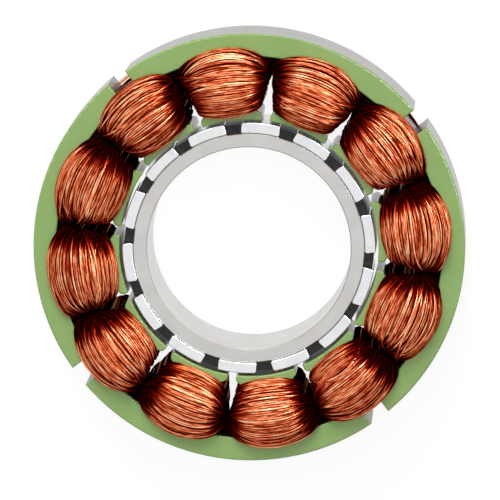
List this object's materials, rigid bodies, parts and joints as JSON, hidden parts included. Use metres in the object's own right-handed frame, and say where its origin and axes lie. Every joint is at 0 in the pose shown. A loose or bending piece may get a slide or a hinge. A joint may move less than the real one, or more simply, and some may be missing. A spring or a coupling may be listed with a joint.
{
  "type": "frameless motor",
  "caption": "Frameless motor: a notched steel stator ring with a green epoxy coat and copper coils, and a slim ring of magnets that turns inside it.",
  "frame": {"origin": "on the motor's axis, halfway along the steel pack and halfway between the front and rear ends of the coils", "axes": "+Z along the motor's axis, out of the front, which is the side without the joining wires; +X through one of the locating notches"},
  "size_m": [0.05, 0.05, 0.0146],
  "materials": {
    "lamination_steel": "bare ground edges of bonded steel sheets",
    "green_epoxy": "satin epoxy powder coat",
    "enamelled_copper": "glossy enamel on copper wire",
    "rotor_steel": "fine turned",
    "magnet_plate": "bright nickel plate",
    "black_adhesive": "cured glossy epoxy",
    "sleeve": "matt varnished sleeve"
  },
  "bodies": {
    "stator": {"lamination_pack": "lamination_steel", "insulation_coat": "green_epoxy", "coil_01": "enamelled_copper", "coil_02": "enamelled_copper", "coil_03": "enamelled_copper", "coil_04": "enamelled_copper", "coil_05": "enamelled_copper", "coil_06": "enamelled_copper", "coil_07": "enamelled_copper", "coil_08": "enamelled_copper", "coil_09": "enamelled_copper", "coil_10": "enamelled_copper", "coil_11": "enamelled_copper", "coil_12": "enamelled_copper", "crossover_u": "enamelled_copper", "crossover_v": "enamelled_copper", "crossover_w": "enamelled_copper", "star_wire": "enamelled_copper", "star_tap": "enamelled_copper", "star_sleeve": "sleeve"},
    "rotor": {"rotor_ring": "rotor_steel", "magnet_01": "magnet_plate", "magnet_02": "magnet_plate", "magnet_03": "magnet_plate", "magnet_04": "magnet_plate", "magnet_05": "magnet_plate", "magnet_06": "magnet_plate", "magnet_07": "magnet_plate", "magnet_08": "magnet_plate", "magnet_09": "magnet_plate", "magnet_10": "magnet_plate", "magnet_11": "magnet_plate", "magnet_12": "magnet_plate", "magnet_13": "magnet_plate", "magnet_14": "magnet_plate", "adhesive_01": "black_adhesive", "adhesive_02": "black_adhesive", "adhesive_03": "black_adhesive", "adhesive_04": "black_adhesive", "adhesive_05": "black_adhesive", "adhesive_06": "black_adhesive", "adhesive_07": "black_adhesive", "adhesive_08": "black_adhesive", "adhesive_09": "black_adhesive", "adhesive_10": "black_adhesive", "adhesive_11": "black_adhesive", "adhesive_12": "black_adhesive", "adhesive_13": "black_adhesive", "adhesive_14": "black_adhesive"}
  },
  "joints": [
    {"name": "rotor_spin", "type": "hinge", "parent": "stator", "child": "rotor", "pos_m": [0, 0, 0], "axis": [0, 0, 1], "continuous": true}
  ]
}
